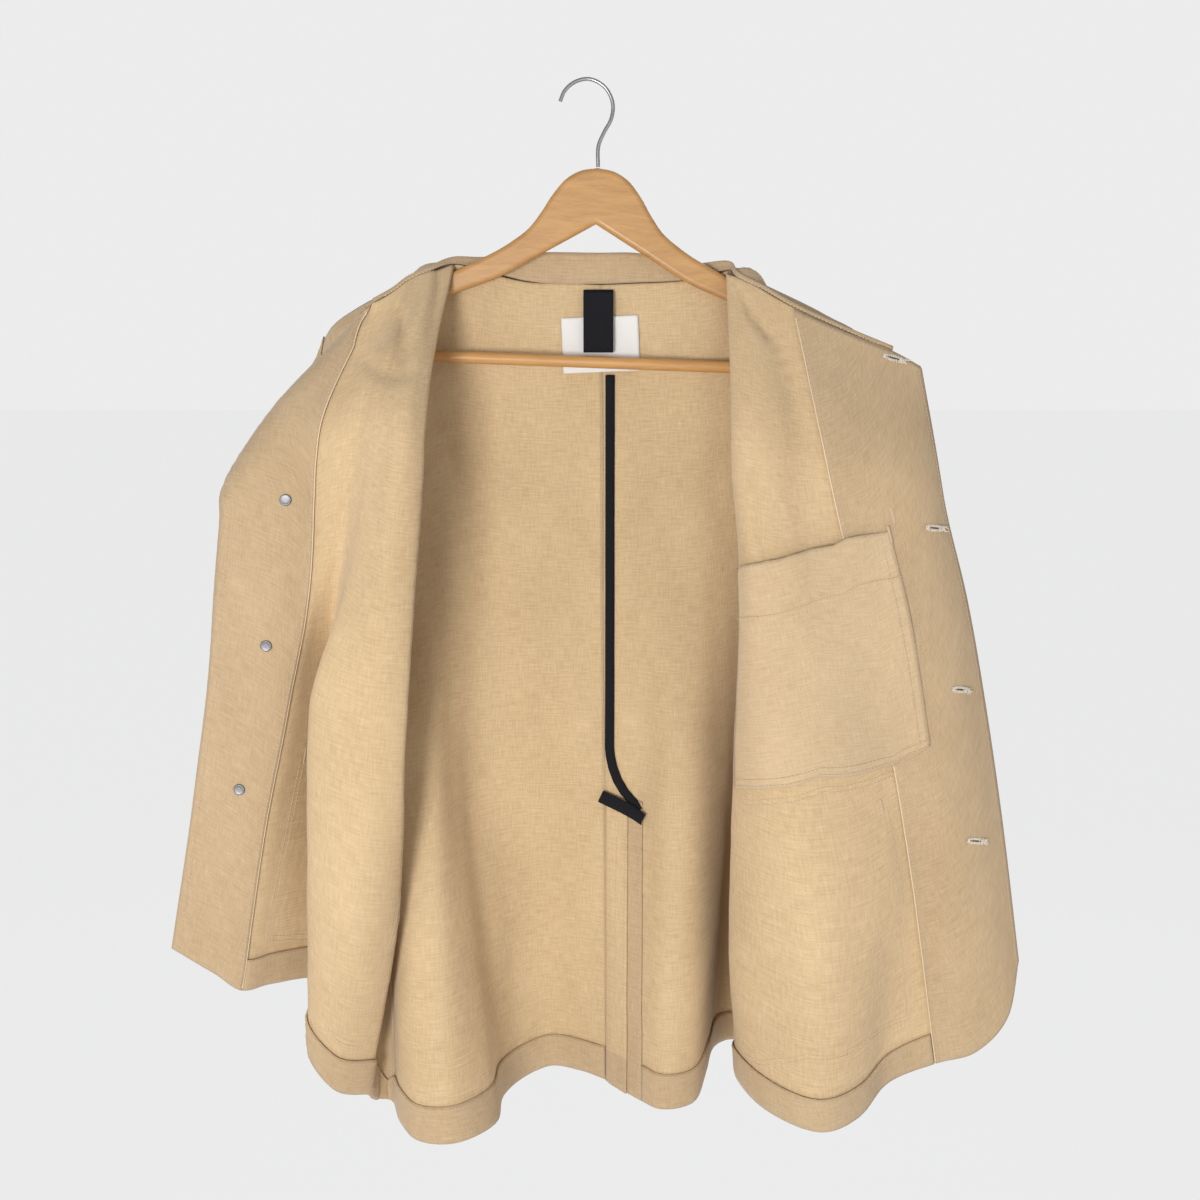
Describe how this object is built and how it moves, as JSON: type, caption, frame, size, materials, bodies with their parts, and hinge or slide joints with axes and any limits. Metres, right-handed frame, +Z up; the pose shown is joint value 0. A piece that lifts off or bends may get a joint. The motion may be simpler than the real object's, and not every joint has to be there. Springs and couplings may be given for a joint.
{
  "type": "chore jacket on wooden hanger",
  "caption": "Unlined cotton drill chore jacket hanging open on a wooden hanger, its fronts turned outwards to show the facings, patch pocket, back seam and vent.",
  "frame": {"origin": "inside of the top of the hanger's hook bend, where it hangs", "axes": "+Z up, +Y away from the side that is shown, from the inside of the back to its outside, +X to the viewer's right, the wearer's left"},
  "size_m": [0.7055, 0.2216, 0.8758],
  "materials": {
    "drill_inside": "matte cotton drill, reverse side",
    "drill_face": "matte cotton drill, face side",
    "tape_black": "matte woven tape",
    "label_white": "smooth woven label",
    "tack_metal": "satin pressed metal",
    "hanger_wood": "varnished",
    "hook_steel": "polished wire"
  },
  "bodies": {
    "root": {"front_right": "drill_inside", "front_left": "drill_inside", "back_right": "drill_inside", "back_left": "drill_inside", "vent_extension": "drill_inside", "collar": "drill_inside", "sleeve_right": "drill_face", "sleeve_left": "drill_face", "facing_right": "drill_face", "facing_left": "drill_face", "hem_front_right": "drill_face", "hem_back_right": "drill_face", "hem_back_left": "drill_face", "hem_front_left": "drill_face", "inner_pocket": "drill_face", "chest_pocket": "drill_face", "lower_pocket_right": "drill_face", "lower_pocket_left": "drill_face", "vent_facing": "drill_face", "seam_binding": "tape_black", "vent_tape": "tape_black", "hanger_loop": "tape_black", "neck_label": "label_white", "button_1": "tack_metal", "button_2": "tack_metal", "button_3": "tack_metal", "button_4": "tack_metal", "rivet_1": "tack_metal", "rivet_2": "tack_metal", "rivet_3": "tack_metal", "rivet_4": "tack_metal", "hanger_wood": "hanger_wood", "hanger_bar": "hanger_wood", "hanger_hook": "hook_steel"}
  },
  "joints": []
}
